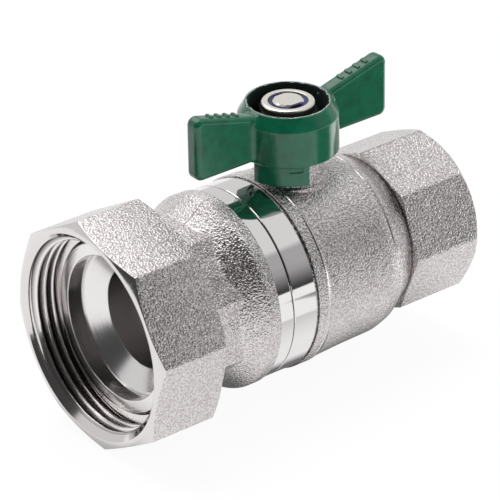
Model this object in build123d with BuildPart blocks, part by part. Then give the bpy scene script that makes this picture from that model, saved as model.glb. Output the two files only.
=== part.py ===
from build123d import *
import math
import os

# Isolating ball valve for a pump or boiler connection, millimetres.
# The flow line is the X axis and the stem stands along +Z.
# The origin is on the flow line where the wall of the female pipe thread begins.
# The loose union nut is at the other end, towards -X.

# Stations on the flow line, each measured from the stem's axis
stem_to_mouth = 41.6
stem_to_octagon = 21.8
stem_to_joint = 17.4
stem_to_adapter_band_end = 21.5
stem_to_neck = 28.6
stem_to_neck_end = 39.2
stem_to_tail_face = 51.3
stem_to_nut_rear = 39.7
nut_length = 18.9

# Ball, seats and flow way
flow_bore_r = 12.0
ball_r = 18.5
ball_cavity_gap = 0.55
ball_bore_edge = 0.5
seat_bore_step = 0.4
seat_contact_width = 2.55
seat_land = 0.95
seat_thickness = 2.8
seat_gap = 0.15
seat_pocket_gap = 0.05
seat_proud = 0.5
seat_pocket_lead = 0.6
cavity_half_length = 8.0

# Joint between the body and the adapter
joint_shoulder = 0.95
joint_thread_gap = 0.05
adapter_reach = 9.4
adapter_nose_gap = 0.5
joint_seal_section = 1.5
joint_seal_groove_width = 1.9
joint_lead = 0.3

# Forged body
band_wall = 3.1
band_width = 6.7
band_edge = 0.25
relief_width = 0.5
relief_depth = 0.5
forging_rise = 0.4
barrel_front_width = 3.6
barrel_step = 0.25
barrel_fall = 0.35
barrel_taper_length = 11.0
barrel_blend_r = 20.0
shoulder_start = 12.4
shoulder_fall = 0.5
shoulder_blend_r = 4.0
cone_start = 15.9
cone_fall = 1.35
valley_width = 0.9
valley_depth = 0.6
valley_slope = 0.3
valley_blend_r = 0.5
octagon_wall = 2.1
octagon_edge_r = 1.2
mouth_chamfer = 1.5
mouth_face_rise = 0.05
turning_margin = 1.0

# Pipe threads, drawn as plain bores at their minor diameters (G1 and G1 1/2)
pipe_thread_minor_r = 15.145
pipe_thread_length = 16.7
pipe_thread_entry_r = 17.0
nut_thread_minor_r = 22.42
nut_thread_to_tail = 0.3
nut_thread_entry_r = 24.8
nut_thread_relief_width = 1.2
nut_thread_major_r = 23.9

# End adapter
flange_edge_r = 0.15
flange_round_start = 3.4
flange_shoulder_r = 2.6
flange_round_end = 0.6
flange_round_fall = 2.1
flange_foot_r = 1.6
neck_turn = 22.5
neck_run = 1.6
neck_round_rise = 0.3
neck_blend_r = 2.0
spigot_clearance = 1.82
spigot_edge = 0.4
tail_face_width = 3.3
tail_counterbore_depth = 4.2
tail_cone_step = 0.5
tail_cone_length = 3.2

# Union nut and the wire ring that keeps it on the spigot
nut_wall = 2.1
nut_turn = -7.0
nut_edge_r = 1.0
nut_front_face_inset = 0.4
nut_front_chamfer = 1.2
nut_rear_face_rise = 0.6
nut_rear_chamfer = 0.9
nut_bore_gap = 0.3
ring_wire_r = 1.1
ring_gap_angle = 9.0
ring_to_nut_rear = 4.0
ring_groove_gap = 0.2

# Stem, its seals, its boss and the stop lug beside it
stem_r = 4.5
stem_bore_gap = 0.04
stem_ball_gap = 0.15
stem_flange_r = 6.4
stem_flange_height = 2.2
stem_pocket_gap = 0.3
thrust_washer_thickness = 0.7
thrust_washer_gap = 0.05
thrust_washer_bore_gap = 0.2
tang_thickness = 5.0
tang_width = 11.0
tang_gap = 0.1
slot_depth = 4.2
stem_seal_section = 1.3
stem_seal_groove_width = 1.8
stem_seal_rise = 2.4
stem_seal_pitch = 3.2
stem_end_length = 10.9
stem_flats = 6.0
stem_thread_r = 3.6
stem_end_chamfer = 0.35
boss_wall = 3.5
boss_height = 7.15
boss_foot_round = 0.8
boss_foot_drop = 0.45
lug_root = 1.0
lug_bite = 1.6
lug_drop = 2.3

# Handle
handle_lift = 0.5
skirt_gap = 1.2
skirt_wall = 2.5
skirt_overlap = 0.5
hub_height = 11.75
bevel_height = 2.95
bevel_width = 1.75
bevel_blend_r = 1.2
rim_width = 0.75
rim_outer_edge_r = 0.35
rim_inner_edge_r = 0.3
recess_taper = 0.3
web_thickness = 2.8
wing_reach = 16.3
wing_thickness = 4.2
wing_lift = 0.1
wing_tip_rise = 4.25
wing_root_drop = 0.65
wing_root_bite = 0.25
wing_corner_r = 2.0
wing_edge_r = 1.3
wing_root_fillet = 1.2
root_edge_margin = 0.25
rib_count = 4
rib_start = 5.8
rib_pitch = 2.4
rib_thickness = 0.8
rib_width = 2.0
rib_height = 0.35
tab_inset = 0.3
tab_height = 5.05
tab_edge_r = 0.5
tab_overlap = 0.7
tab_start = -172.5
tab_end = -104.5
mark_angle = -120.3
mark_width = 3.1
mark_height = 1.2
mark_depth = 0.25
mark_drop = 0.2
stop_gap = 0.5
handle_travel = 90.0
handle_hole_gap = 0.1

# Handle nut, M8 with a nylon insert
lock_nut_flats = 13.0
lock_nut_hex_height = 6.4
lock_nut_face_inset = 0.2
lock_nut_collar_inset = 0.2
lock_nut_collar_edge_r = 0.7
lock_nut_height = 7.9
lock_nut_mouth_gap = 1.05
lock_nut_mouth_edge_r = 0.2
lock_nut_lip = 0.5
lock_nut_chamfer = 0.6
insert_width = 1.7
insert_thickness = 1.6
thread_gap = 0.02

# Stations on the flow line
x_mouth = pipe_thread_entry_r - pipe_thread_minor_r
stem_x = x_mouth - stem_to_mouth
x_joint = stem_x - stem_to_joint
x_octagon = stem_x + stem_to_octagon
x_band_end = x_joint + band_width
x_barrel = x_band_end + relief_width
x_step = x_barrel + barrel_front_width
x_flange_end = stem_x - stem_to_adapter_band_end
x_neck = stem_x - stem_to_neck
x_neck_end = stem_x - stem_to_neck_end
x_nose = x_joint + adapter_reach
x_tail = stem_x - stem_to_tail_face
x_nut_rear = stem_x - stem_to_nut_rear
x_nut_front = x_nut_rear - nut_length
x_nut_thread = x_nut_front + nut_thread_entry_r - nut_thread_minor_r
x_nut_relief = x_tail - nut_thread_to_tail
x_ring = x_nut_rear - ring_to_nut_rear

# Radii of the ball, its seats and the forgings around them
cavity_r = ball_r + ball_cavity_gap
seat_radius = ball_r + seat_gap
seat_contact_inner_r = flow_bore_r + seat_bore_step
seat_contact_outer_r = seat_contact_inner_r + seat_contact_width
seat_outer_r = seat_contact_outer_r + seat_land
seat_pocket_r = seat_outer_r + seat_pocket_gap
seat_front = math.sqrt(seat_radius**2 - seat_contact_outer_r**2)
seat_back = math.sqrt(seat_radius**2 - seat_contact_inner_r**2) + seat_thickness
seat_pocket_mouth = seat_front + seat_proud
nose_bore_r = math.sqrt(ball_r**2 - (x_nose - stem_x)**2) + ball_cavity_gap
joint_thread_r = cavity_r + joint_shoulder
adapter_thread_r = joint_thread_r - joint_thread_gap
seal_root_r = joint_thread_r - joint_seal_section
band_r = joint_thread_r + band_wall
forged_r = band_r + forging_rise
barrel_r = band_r - barrel_fall
shoulder_r = band_r - shoulder_fall
cone_start_r = band_r - cone_fall
flange_round_end_r = band_r - flange_round_fall
octagon_apothem = pipe_thread_entry_r + octagon_wall
octagon_corner_r = octagon_apothem / math.cos(math.pi / 8)
mouth_face_r = octagon_apothem + mouth_face_rise
valley_r = octagon_apothem - valley_depth
neck_round_r = octagon_apothem + neck_round_rise

# Radii of the union
spigot_r = nut_thread_minor_r - spigot_clearance
tail_counterbore_r = spigot_r - tail_face_width
tail_cone_r = tail_counterbore_r - tail_cone_step
nut_apothem = nut_thread_major_r + nut_wall
nut_corner_r = nut_apothem / math.cos(math.pi / 8)
nut_front_face_r = nut_apothem - nut_front_face_inset
nut_rear_face_r = nut_apothem + nut_rear_face_rise
nut_bore_r = spigot_r + nut_bore_gap
ring_centre_r = spigot_r + nut_bore_gap / 2
ring_groove_side = 2 * (ring_wire_r + ring_groove_gap)

# Levels up the stem
slot_floor = ball_r - slot_depth
flange_bottom = ball_r + stem_ball_gap
flange_top = flange_bottom + stem_flange_height
stem_pocket_top = flange_top + thrust_washer_gap + thrust_washer_thickness
stem_seal_levels = {
    "stem_seal_lower": stem_pocket_top + stem_seal_rise,
    "stem_seal_upper": stem_pocket_top + stem_seal_rise + stem_seal_pitch,
}
boss_top = barrel_r + boss_height
boss_foot_level = barrel_r - boss_foot_drop
lug_top = boss_top - lug_drop
stem_shoulder = boss_top + handle_lift
stem_top = stem_shoulder + stem_end_length
hub_bottom = boss_top - skirt_overlap
hub_top = hub_bottom + hub_height
bevel_foot = hub_top - bevel_height
recess_floor = stem_shoulder + web_thickness
tab_bottom = hub_bottom - tab_height
mark_top = hub_bottom - mark_drop
wing_bottom = hub_bottom + wing_lift
wing_tip_top = hub_top + wing_tip_rise
wing_root_top = hub_top - wing_root_drop
lock_nut_hex_top = recess_floor + lock_nut_hex_height
lock_nut_top = recess_floor + lock_nut_height
insert_foot = lock_nut_top - lock_nut_lip - insert_thickness

# Radii and angles about the stem
groove_root_r = stem_r - stem_seal_section
boss_r = stem_r + boss_wall
skirt_inner_r = boss_r + skirt_gap
hub_r = skirt_inner_r + skirt_wall
lug_inner_r = boss_r - lug_root
lug_outer_r = skirt_inner_r + lug_bite
tab_outer_r = hub_r - tab_inset
rim_outer_r = hub_r - bevel_width
recess_r = rim_outer_r - rim_width
recess_floor_r = recess_r - recess_taper
wing_root = rim_outer_r - wing_root_bite
wing_tip = hub_r + wing_reach
rib_first = wing_root + rib_start
lock_nut_corner_r = lock_nut_flats / 2 / math.cos(math.pi / 6)
lock_nut_face_r = lock_nut_flats / 2 - lock_nut_face_inset
lock_nut_collar_r = lock_nut_flats / 2 - lock_nut_collar_inset
lock_nut_mouth_r = stem_thread_r + lock_nut_mouth_gap
insert_outer_r = stem_thread_r + insert_width
tab_span = tab_end - tab_start
lug_span = 180 - handle_travel - tab_span - 2 * stop_gap
lug_start = tab_end + 180 + stop_gap

# Planes and axis
stem_plane = Plane(origin=(stem_x, 0, 0), x_dir=(1, 0, 0), z_dir=(0, -1, 0))
stem_axis = Axis((stem_x, 0, 0), (0, 0, 1))
stem_foot = Plane(origin=(stem_x, 0, 0))
wing_mirror = Plane(origin=(stem_x, 0, 0), z_dir=(1, 0, 0))
hub_plane = Plane(origin=(stem_x, 0, 0), x_dir=(0, 1, 0), z_dir=(1, 0, 0))


def sector(inner_r, outer_r, start_angle, span):
    """Flat face between two radii and two angles, about the local origin."""
    with BuildSketch() as face:
        with BuildLine():
            outer = CenterArc((0, 0), outer_r, start_angle, span)
            inner = CenterArc((0, 0), inner_r, start_angle, span)
            Line(outer @ 0, inner @ 0)
            Line(outer @ 1, inner @ 1)
        make_face()
    return face.sketch


# Valve body: octagonal female end, forged barrel, polished band, stem boss and stop lug
with BuildPart() as valve_body:
    with BuildSketch(Plane.YZ.offset(x_octagon)) as octagon:
        RegularPolygon(octagon_apothem, 8, major_radius=False)
        fillet(octagon.vertices(), octagon_edge_r)
    extrude(amount=x_mouth - x_octagon)
    with BuildSketch(Plane.XZ):
        with BuildLine():
            Polyline(
                (x_octagon, 0),
                (x_octagon, octagon_corner_r + turning_margin),
                (x_mouth - mouth_chamfer, octagon_corner_r + turning_margin),
                (x_mouth - mouth_chamfer, octagon_corner_r),
                (x_mouth, mouth_face_r),
                (x_mouth, 0),
                close=True,
            )
        make_face()
    revolve(axis=Axis.X, mode=Mode.INTERSECT)
    with BuildSketch(Plane.XZ):
        with BuildLine():
            front = Polyline(
                (x_octagon + valley_width, 0),
                (x_joint, 0),
                (x_joint, band_r - band_edge),
                (x_joint + band_edge, band_r),
                (x_band_end, band_r),
                (x_band_end, band_r - relief_depth),
                (x_barrel, band_r - relief_depth),
                (x_barrel, forged_r),
                (x_step, forged_r),
                (x_step, forged_r - barrel_step),
            )
            FilletPolyline(
                front @ 1,
                (x_step + barrel_taper_length, barrel_r),
                (stem_x + shoulder_start, shoulder_r),
                (stem_x + cone_start, cone_start_r),
                (x_octagon - valley_width, valley_r + valley_slope),
                (x_octagon, valley_r),
                (x_octagon + valley_width, valley_r),
                radius=[
                    barrel_blend_r,
                    shoulder_blend_r,
                    shoulder_blend_r,
                    valley_blend_r,
                    valley_blend_r,
                ],
            )
            Line((x_octagon + valley_width, valley_r), (x_octagon + valley_width, 0))
        make_face()
    revolve(axis=Axis.X)
    with BuildSketch(stem_plane):
        with BuildLine():
            foot = Polyline(
                (0, boss_top),
                (0, cavity_r),
                (boss_r + boss_foot_round, cavity_r),
                (boss_r + boss_foot_round, boss_foot_level),
            )
            flare = RadiusArc(foot @ 1, (boss_r, boss_foot_level + boss_foot_round), boss_foot_round)
            Polyline(flare @ 1, (boss_r, boss_top), (0, boss_top))
        make_face()
    revolve(axis=stem_axis)
    with BuildSketch(stem_foot.offset(cavity_r)):
        add(sector(lug_inner_r, lug_outer_r, lug_start, lug_span))
    extrude(amount=lug_top - cavity_r)
    with BuildSketch(Plane.XZ):
        with BuildLine():
            Polyline(
                (x_joint, 0),
                (x_joint, joint_thread_r + joint_lead),
                (x_joint + joint_lead, joint_thread_r),
                (x_nose + adapter_nose_gap, joint_thread_r),
                (x_nose + adapter_nose_gap, cavity_r),
                (stem_x + cavity_half_length, cavity_r),
                (stem_x + seat_pocket_mouth, seat_pocket_r + seat_pocket_lead),
                (stem_x + seat_pocket_mouth, seat_pocket_r),
                (stem_x + seat_back, seat_pocket_r),
                (stem_x + seat_back, flow_bore_r),
                (-pipe_thread_length, flow_bore_r),
                (-pipe_thread_length, pipe_thread_minor_r),
                (0, pipe_thread_minor_r),
                (x_mouth, pipe_thread_entry_r),
                (x_mouth, 0),
                close=True,
            )
        make_face()
    revolve(axis=Axis.X, mode=Mode.SUBTRACT)
    with BuildSketch(stem_foot.offset(flow_bore_r)):
        Circle(stem_flange_r + stem_pocket_gap)
    extrude(amount=stem_pocket_top - flow_bore_r, mode=Mode.SUBTRACT)
    with BuildSketch(stem_foot.offset(stem_pocket_top)):
        Circle(stem_r + stem_bore_gap)
    extrude(amount=boss_top - stem_pocket_top, mode=Mode.SUBTRACT)
valve_body.part.label = "valve_body"


# End adapter: screwed into the body, with an octagonal neck and the spigot of the union
with BuildPart() as end_adapter:
    with BuildSketch(Plane.YZ.offset(x_neck_end)) as octagon:
        RegularPolygon(octagon_apothem, 8, major_radius=False, rotation=neck_turn)
        fillet(octagon.vertices(), octagon_edge_r)
    extrude(amount=x_flange_end - x_neck_end)
    with BuildSketch(Plane.XZ):
        with BuildLine():
            flange = Polyline(
                (x_tail, 0),
                (x_nose, 0),
                (x_nose, adapter_thread_r - joint_lead),
                (x_nose - joint_lead, adapter_thread_r),
                (x_joint + joint_seal_groove_width, adapter_thread_r),
                (x_joint + joint_seal_groove_width, seal_root_r),
                (x_joint, seal_root_r),
                (x_joint, band_r - band_edge),
                (x_joint - band_edge, band_r),
                (x_flange_end, band_r),
            )
            FilletPolyline(
                flange @ 1,
                (x_flange_end, forged_r),
                (x_flange_end - flange_round_start, forged_r),
                (x_neck + flange_round_end, flange_round_end_r),
                (x_neck - neck_run, neck_round_r),
                (x_neck_end, neck_round_r),
                radius=[flange_edge_r, flange_shoulder_r, flange_foot_r, neck_blend_r],
            )
            Polyline(
                (x_neck_end, neck_round_r),
                (x_neck_end, spigot_r),
                (x_tail + spigot_edge, spigot_r),
                (x_tail, spigot_r - spigot_edge),
                (x_tail, 0),
            )
        make_face()
    revolve(axis=Axis.X)
    with BuildSketch(Plane.XZ):
        with BuildLine():
            Polyline(
                (x_tail, 0),
                (x_tail, tail_counterbore_r),
                (x_tail + tail_counterbore_depth, tail_counterbore_r),
                (x_tail + tail_counterbore_depth, tail_cone_r),
                (x_tail + tail_counterbore_depth + tail_cone_length, flow_bore_r),
                (stem_x - seat_back, flow_bore_r),
                (stem_x - seat_back, seat_pocket_r),
                (stem_x - seat_pocket_mouth, seat_pocket_r),
                (stem_x - seat_pocket_mouth, seat_pocket_r + seat_pocket_lead),
                (x_nose, nose_bore_r),
                (x_nose, 0),
                close=True,
            )
        make_face()
    revolve(axis=Axis.X, mode=Mode.SUBTRACT)
    with BuildSketch(Plane.XZ):
        with Locations((x_ring, ring_centre_r)):
            Rectangle(ring_groove_side, ring_groove_side)
    revolve(axis=Axis.X, mode=Mode.SUBTRACT)
end_adapter.part.label = "end_adapter"


# Union nut, free to spin on the spigot
with BuildPart() as union_nut:
    with BuildSketch(Plane.YZ.offset(x_nut_front)) as octagon:
        RegularPolygon(nut_apothem, 8, major_radius=False, rotation=nut_turn)
        fillet(octagon.vertices(), nut_edge_r)
    extrude(amount=nut_length)
    with BuildSketch(Plane.XZ):
        with BuildLine():
            Polyline(
                (x_nut_front, 0),
                (x_nut_front, nut_front_face_r),
                (x_nut_front + nut_front_chamfer, nut_corner_r),
                (x_nut_rear - nut_rear_chamfer, nut_corner_r),
                (x_nut_rear, nut_rear_face_r),
                (x_nut_rear, 0),
                close=True,
            )
        make_face()
    revolve(axis=Axis.X, mode=Mode.INTERSECT)
    with BuildSketch(Plane.XZ):
        with BuildLine():
            Polyline(
                (x_nut_front, 0),
                (x_nut_front, nut_thread_entry_r),
                (x_nut_thread, nut_thread_minor_r),
                (x_nut_relief, nut_thread_minor_r),
                (x_nut_relief, nut_thread_major_r),
                (x_nut_relief + nut_thread_relief_width, nut_thread_major_r),
                (x_nut_relief + nut_thread_relief_width, nut_bore_r),
                (x_nut_rear, nut_bore_r),
                (x_nut_rear, 0),
                close=True,
            )
        make_face()
    revolve(axis=Axis.X, mode=Mode.SUBTRACT)
    with BuildSketch(Plane.XZ):
        with Locations((x_ring, ring_centre_r)):
            Rectangle(ring_groove_side, ring_groove_side)
    revolve(axis=Axis.X, mode=Mode.SUBTRACT)
union_nut.part.label = "union_nut"


# Wire ring in the grooves of spigot and nut, split so that it can be sprung in
with BuildPart() as nut_retaining_ring:
    with BuildSketch(Plane.XZ):
        with Locations((x_ring, ring_centre_r)):
            Circle(ring_wire_r)
    revolve(axis=Axis.X, revolution_arc=360 - ring_gap_angle)
nut_retaining_ring.part.label = "nut_retaining_ring"


# Seal ring in the undercut of the adapter, against the mouth of the body
with BuildPart() as joint_seal_ring:
    with BuildSketch(Plane.XZ):
        with Locations((x_joint + joint_seal_groove_width / 2, joint_thread_r - joint_seal_section / 2)):
            Circle(joint_seal_section / 2)
    revolve(axis=Axis.X)
joint_seal_ring.part.label = "joint_seal_ring"


# Two seat rings, each with a spherical face that follows the ball
def seat_ring(side):
    """Seat ring on one side of the ball: 1 towards the female end, -1 towards the union."""
    start = math.degrees(math.asin(seat_contact_inner_r / seat_radius))
    end = math.degrees(math.asin(seat_contact_outer_r / seat_radius))
    with BuildPart() as ring:
        with BuildSketch(stem_plane):
            with BuildLine():
                face = CenterArc((0, 0), seat_radius, start, end - start)
                Polyline(
                    face @ 1,
                    (seat_front, seat_outer_r),
                    (seat_back, seat_outer_r),
                    (seat_back, seat_contact_inner_r),
                    face @ 0,
                )
            make_face()
            if side < 0:
                mirror(about=Plane.YZ, mode=Mode.REPLACE)
        revolve(axis=Axis.X)
    return ring.part


body_seat_ring = seat_ring(1)
body_seat_ring.label = "body_seat_ring"
adapter_seat_ring = seat_ring(-1)
adapter_seat_ring.label = "adapter_seat_ring"


# Ball with its full-bore way and the slot across its top for the stem's tang
with BuildPart() as ball:
    with Locations((stem_x, 0, 0)):
        Sphere(ball_r)
    with BuildSketch(Plane.YZ.offset(stem_x)):
        Circle(flow_bore_r)
    extrude(amount=ball_r, both=True, mode=Mode.SUBTRACT)
    bore_edges = ball.edges().filter_by(GeomType.CIRCLE)
    chamfer(bore_edges, ball_bore_edge)
    with BuildSketch(stem_foot.offset(slot_floor)):
        Rectangle(tang_thickness + 2 * tang_gap, 2 * ball_r)
    extrude(amount=ball_r, mode=Mode.SUBTRACT)
ball.part.label = "ball"


# Stem: tang, thrust flange, sealed shank, and a flatted M8 end for handle and nut
with BuildPart() as stem:
    with BuildSketch(stem_plane):
        with BuildLine():
            Polyline(
                (0, flange_bottom),
                (stem_flange_r, flange_bottom),
                (stem_flange_r, flange_top),
                (stem_r, flange_top),
                (stem_r, stem_shoulder),
                (stem_thread_r, stem_shoulder),
                (stem_thread_r, stem_top - stem_end_chamfer),
                (stem_thread_r - stem_end_chamfer, stem_top),
                (0, stem_top),
                close=True,
            )
        make_face()
    revolve(axis=stem_axis)
    with BuildSketch(stem_plane):
        for level in stem_seal_levels.values():
            with Locations((stem_r - stem_seal_section / 2, level)):
                Rectangle(stem_seal_section, stem_seal_groove_width)
    revolve(axis=stem_axis, mode=Mode.SUBTRACT)
    with BuildSketch(stem_foot.offset(stem_shoulder)):
        with Locations((0, stem_flats / 2 + stem_r), (0, -stem_flats / 2 - stem_r)):
            Rectangle(4 * stem_r, 2 * stem_r)
    extrude(amount=stem_top - stem_shoulder, mode=Mode.SUBTRACT)
    with BuildSketch(stem_foot.offset(slot_floor + tang_gap)):
        Rectangle(tang_thickness, tang_width)
    extrude(amount=flange_bottom - slot_floor - tang_gap)
stem.part.label = "stem"


# Thrust washer between the stem's flange and the shoulder in the boss
with BuildPart() as stem_thrust_washer:
    with BuildSketch(stem_foot.offset(stem_pocket_top - thrust_washer_thickness)):
        Circle(stem_flange_r)
        Circle(stem_r + thrust_washer_bore_gap, mode=Mode.SUBTRACT)
    extrude(amount=thrust_washer_thickness)
stem_thrust_washer.part.label = "stem_thrust_washer"


# Two O-rings in the grooves of the stem
def stem_seal(level):
    """O-ring round the stem at one level, squeezed to the depth of its groove."""
    with BuildPart() as ring:
        with BuildSketch(stem_plane):
            with Locations((groove_root_r + stem_seal_section / 2, level)):
                Circle(stem_seal_section / 2)
        revolve(axis=stem_axis)
    return ring.part


stem_seals = {}
for name, level in stem_seal_levels.items():
    stem_seals[name] = stem_seal(level)
    stem_seals[name].label = name


# Handle: bevelled hub with a recess for the nut, two ribbed wings and two stop tabs
wing_slope = math.atan2(wing_tip_top - wing_root_top, wing_tip - wing_root)
with BuildPart() as handle:
    with BuildSketch(stem_plane):
        with BuildLine():
            outline = Polyline(
                (wing_root, wing_bottom),
                (wing_tip, wing_bottom),
                (wing_tip, wing_tip_top),
                (wing_root, wing_root_top),
                close=True,
            )
        make_face()
        fillet(
            [v for v in outline.vertices() if v.X > wing_root + wing_corner_r],
            wing_corner_r,
        )
    extrude(amount=wing_thickness / 2, both=True)
    side_edges = handle.faces().filter_by(Axis.Y).edges().filter_by(
        lambda e: e.center().X > stem_x + wing_root + root_edge_margin
    )
    fillet(side_edges, wing_edge_r)
    with BuildSketch(stem_plane):
        for step in range(rib_count):
            along = rib_first + step * rib_pitch
            level = wing_root_top + (along - wing_root) * math.tan(wing_slope)
            with Locations(Location((along, level), math.degrees(wing_slope))):
                Rectangle(rib_thickness, 2 * rib_height)
    extrude(amount=rib_width / 2, both=True)
    mirror(about=wing_mirror)
    with BuildSketch(hub_plane):
        with BuildLine():
            FilletPolyline(
                (recess_floor_r, recess_floor),
                (recess_r, hub_top),
                (rim_outer_r, hub_top),
                (hub_r, bevel_foot),
                (hub_r, hub_bottom),
                radius=[rim_inner_edge_r, rim_outer_edge_r, bevel_blend_r],
            )
            Polyline(
                (hub_r, hub_bottom),
                (skirt_inner_r, hub_bottom),
                (skirt_inner_r, stem_shoulder),
                (0, stem_shoulder),
                (0, recess_floor),
                (recess_floor_r, recess_floor),
            )
        make_face()
    revolve(axis=stem_axis)
    root_edges = handle.edges().filter_by(
        lambda e: abs(e.center().Y) < wing_thickness / 2 + root_edge_margin
        and rim_outer_r < abs(e.center().X - stem_x) < hub_r
        and wing_bottom + 2 * wing_edge_r < e.center().Z < hub_top - root_edge_margin
    )
    fillet(root_edges, wing_root_fillet)
    for turn in (0, 180):
        with BuildSketch(stem_foot.offset(tab_bottom)):
            add(sector(skirt_inner_r, tab_outer_r, tab_start + turn, tab_span))
        extrude(amount=hub_bottom - tab_bottom + tab_overlap)
    tab_edges = handle.faces().sort_by(Axis.Z)[:2].edges().filter_by(
        lambda e: (e.center() - Vector(stem_x, 0, tab_bottom)).length > skirt_inner_r
    )
    fillet(tab_edges.filter_by(GeomType.CIRCLE), tab_edge_r)
    with BuildSketch(stem_foot.offset(mark_top - mark_height)):
        with Locations(Rotation(0, 0, mark_angle)):
            with Locations((tab_outer_r, 0)):
                Rectangle(2 * mark_depth, mark_width)
    extrude(amount=mark_height, mode=Mode.SUBTRACT)
    with BuildSketch(stem_foot.offset(stem_shoulder)):
        Circle(stem_thread_r + handle_hole_gap)
        Rectangle(4 * stem_r, stem_flats + 2 * handle_hole_gap, mode=Mode.INTERSECT)
    extrude(amount=web_thickness, mode=Mode.SUBTRACT)
handle.part.label = "handle"


# Handle nut: hexagon with a rolled collar that holds the nylon insert
with BuildPart() as handle_nut:
    with BuildSketch(stem_foot.offset(recess_floor)):
        RegularPolygon(lock_nut_flats / 2, 6, major_radius=False)
    extrude(amount=lock_nut_hex_height)
    with BuildSketch(stem_plane):
        with BuildLine():
            Polyline(
                (0, recess_floor),
                (lock_nut_face_r, recess_floor),
                (lock_nut_corner_r, recess_floor + lock_nut_chamfer),
                (lock_nut_corner_r, lock_nut_hex_top - lock_nut_chamfer),
                (lock_nut_face_r, lock_nut_hex_top),
                (0, lock_nut_hex_top),
                close=True,
            )
        make_face()
    revolve(axis=stem_axis, mode=Mode.INTERSECT)
    with BuildSketch(stem_plane):
        with BuildLine():
            collar = FilletPolyline(
                (lock_nut_collar_r, lock_nut_hex_top - lock_nut_chamfer),
                (lock_nut_collar_r, lock_nut_top),
                (lock_nut_mouth_r, lock_nut_top),
                (lock_nut_mouth_r, lock_nut_top - lock_nut_lip),
                radius=[lock_nut_collar_edge_r, lock_nut_mouth_edge_r],
            )
            Polyline(
                collar @ 1,
                (0, lock_nut_top - lock_nut_lip),
                (0, lock_nut_hex_top - lock_nut_chamfer),
                collar @ 0,
            )
        make_face()
    revolve(axis=stem_axis)
    with BuildSketch(stem_foot.offset(recess_floor)):
        Circle(stem_thread_r + thread_gap)
    extrude(amount=lock_nut_height, mode=Mode.SUBTRACT)
    with BuildSketch(stem_foot.offset(insert_foot)):
        Circle(insert_outer_r)
    extrude(amount=insert_thickness, mode=Mode.SUBTRACT)
handle_nut.part.label = "handle_nut"


# Nylon insert that grips the thread
with BuildPart() as handle_nut_insert:
    with BuildSketch(stem_foot.offset(insert_foot)):
        Circle(insert_outer_r)
        Circle(stem_thread_r + thread_gap, mode=Mode.SUBTRACT)
    extrude(amount=insert_thickness)
handle_nut_insert.part.label = "handle_nut_insert"


os.makedirs("parts", exist_ok=True)
export_step(valve_body.part, "parts/valve_body.step")
export_step(end_adapter.part, "parts/end_adapter.step")
export_step(union_nut.part, "parts/union_nut.step")
export_step(nut_retaining_ring.part, "parts/nut_retaining_ring.step")
export_step(joint_seal_ring.part, "parts/joint_seal_ring.step")
export_step(body_seat_ring, "parts/body_seat_ring.step")
export_step(adapter_seat_ring, "parts/adapter_seat_ring.step")
export_step(ball.part, "parts/ball.step")
export_step(stem.part, "parts/stem.step")
export_step(stem_thrust_washer.part, "parts/stem_thrust_washer.step")
export_step(stem_seals["stem_seal_lower"], "parts/stem_seal_lower.step")
export_step(stem_seals["stem_seal_upper"], "parts/stem_seal_upper.step")
export_step(handle.part, "parts/handle.step")
export_step(handle_nut.part, "parts/handle_nut.step")
export_step(handle_nut_insert.part, "parts/handle_nut_insert.step")
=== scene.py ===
import bmesh
import bpy
import math
from mathutils import Matrix, Vector


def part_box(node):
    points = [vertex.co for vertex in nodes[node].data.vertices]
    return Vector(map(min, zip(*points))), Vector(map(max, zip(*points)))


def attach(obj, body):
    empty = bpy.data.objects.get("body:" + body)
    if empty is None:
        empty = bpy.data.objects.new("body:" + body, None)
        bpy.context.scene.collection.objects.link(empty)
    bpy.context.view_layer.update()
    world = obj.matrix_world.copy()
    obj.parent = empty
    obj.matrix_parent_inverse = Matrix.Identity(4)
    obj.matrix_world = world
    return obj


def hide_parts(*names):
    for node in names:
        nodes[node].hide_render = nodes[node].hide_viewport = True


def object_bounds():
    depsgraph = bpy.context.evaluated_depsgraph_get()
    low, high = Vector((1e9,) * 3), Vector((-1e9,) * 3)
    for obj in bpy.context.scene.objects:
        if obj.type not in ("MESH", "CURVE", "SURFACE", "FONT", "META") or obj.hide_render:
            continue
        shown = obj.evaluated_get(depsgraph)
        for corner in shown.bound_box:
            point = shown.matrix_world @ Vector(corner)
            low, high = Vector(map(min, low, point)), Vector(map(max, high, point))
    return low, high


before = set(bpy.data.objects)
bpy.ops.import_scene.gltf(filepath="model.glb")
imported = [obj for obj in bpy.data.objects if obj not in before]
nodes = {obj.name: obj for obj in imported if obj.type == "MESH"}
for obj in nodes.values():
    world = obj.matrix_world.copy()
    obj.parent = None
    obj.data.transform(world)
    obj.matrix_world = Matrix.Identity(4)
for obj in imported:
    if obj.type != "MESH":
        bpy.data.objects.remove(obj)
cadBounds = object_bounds()

mm = 0.001
threadPitch = 2.309 * mm         # of both pipe threads, 11 turns to an inch
farOff = 1.0                     # a metre, past every piece
outside = 30 * mm                # a radius past the forgings
bevelSamples = 6                 # of the edges that a material rounds

# Places taken from the CAD nodes
bodyLow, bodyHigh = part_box("valve_body")
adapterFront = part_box("end_adapter")[0][0]
nutLow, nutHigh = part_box("union_nut")
handleLow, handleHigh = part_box("handle")
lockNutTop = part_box("handle_nut")[1][2]
joint = bodyLow[0]
stemX = (handleLow[0] + handleHigh[0]) / 2
wingRise = 4.25 * mm             # from the hub's top to the wings' tips
hubTop = handleHigh[2] - wingRise
octagonX = stemX + 21.8 * mm     # where the barrel meets the octagonal end


# Helpers for the materials

def linear(hexColour):
    # The sRGB curve, undone for each part of the colour
    values = []
    for start in (0, 2, 4):
        part = int(hexColour[start:start + 2], 16) / 255
        values.append(part / 12.92 if part <= 0.04045 else ((part + 0.055) / 1.055) ** 2.4)
    return (*values, 1)


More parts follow.
